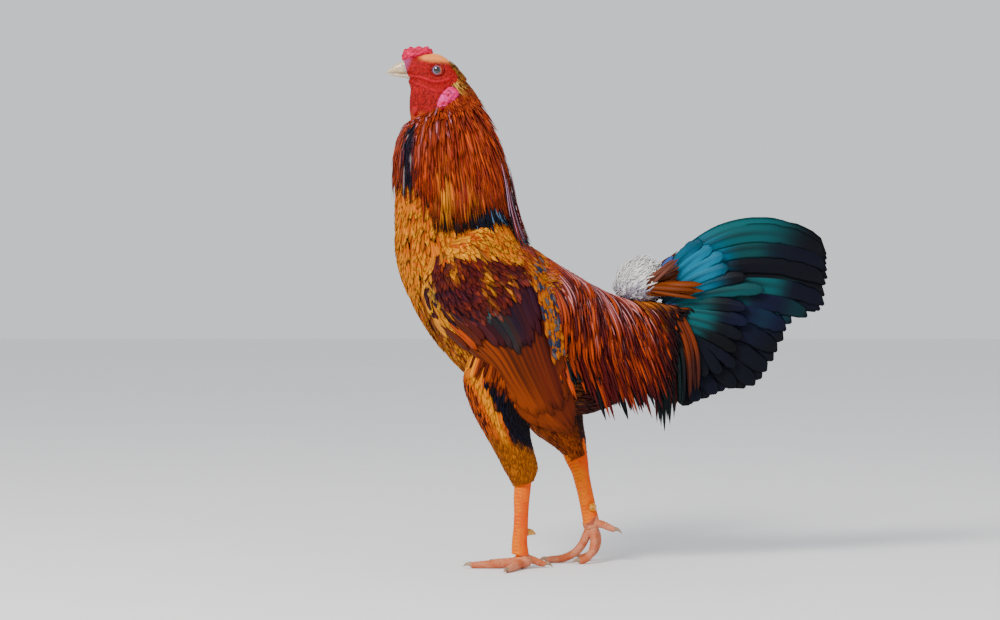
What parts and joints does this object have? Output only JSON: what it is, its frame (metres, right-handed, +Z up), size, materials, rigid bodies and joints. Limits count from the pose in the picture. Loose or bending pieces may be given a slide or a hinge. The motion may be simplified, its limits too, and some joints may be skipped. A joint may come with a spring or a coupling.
{
  "type": "gamecock",
  "caption": "Gamecock, life size, standing upright in mid step: raised neck with full hackle, folded wings, drooping saddle, fanned tail, pea comb, scaled shanks and spurs.",
  "frame": {"origin": "centre of the bounding box on the floor plane", "axes": "+Z up, -X the way the bird faces, -Y its left side"},
  "size_m": [0.5153, 0.1678, 0.5999],
  "materials": {
    "breast_plumage": "soft feather, golden tan with dark specks",
    "hackle_plumage": "satin feather, mahogany red",
    "saddle_plumage": "satin feather, orange red",
    "wing_plumage": "satin feather, maroon and bay",
    "tail_plumage": "glossy feather, blue-green over black",
    "thigh_plumage": "soft feather, gold and black",
    "face_skin": "bare crimson skin, fine folds",
    "comb_skin": "bare crimson skin, knobbly",
    "lobe_skin": "soft pink skin",
    "bill_horn": "ivory horn, satin",
    "eye": "wet gloss",
    "shank_scales": "orange scutes, satin",
    "toe_skin": "salmon scutes, satin",
    "claw_horn": "grey-tan horn",
    "spur_horn": "golden horn"
  },
  "bodies": {
    "root": {"torso": "breast_plumage", "neck": "hackle_plumage", "saddle": "saddle_plumage", "tail": "tail_plumage", "head": "face_skin", "comb": "comb_skin", "beak_upper": "bill_horn", "beak_lower": "bill_horn", "wing_left": "wing_plumage", "thigh_left": "thigh_plumage", "earlobe_left": "lobe_skin", "wattle_left": "face_skin", "eye_left": "eye", "shank_left": "shank_scales", "spur_left": "spur_horn", "toe_middle_left": "toe_skin", "claw_middle_left": "claw_horn", "toe_inner_left": "toe_skin", "claw_inner_left": "claw_horn", "toe_outer_left": "toe_skin", "claw_outer_left": "claw_horn", "toe_hind_left": "toe_skin", "claw_hind_left": "claw_horn", "wing_right": "wing_plumage", "thigh_right": "thigh_plumage", "earlobe_right": "lobe_skin", "wattle_right": "face_skin", "eye_right": "eye", "shank_right": "shank_scales", "spur_right": "spur_horn", "toe_middle_right": "toe_skin", "claw_middle_right": "claw_horn", "toe_inner_right": "toe_skin", "claw_inner_right": "claw_horn", "toe_outer_right": "toe_skin", "claw_outer_right": "claw_horn", "toe_hind_right": "toe_skin", "claw_hind_right": "claw_horn"}
  },
  "joints": []
}
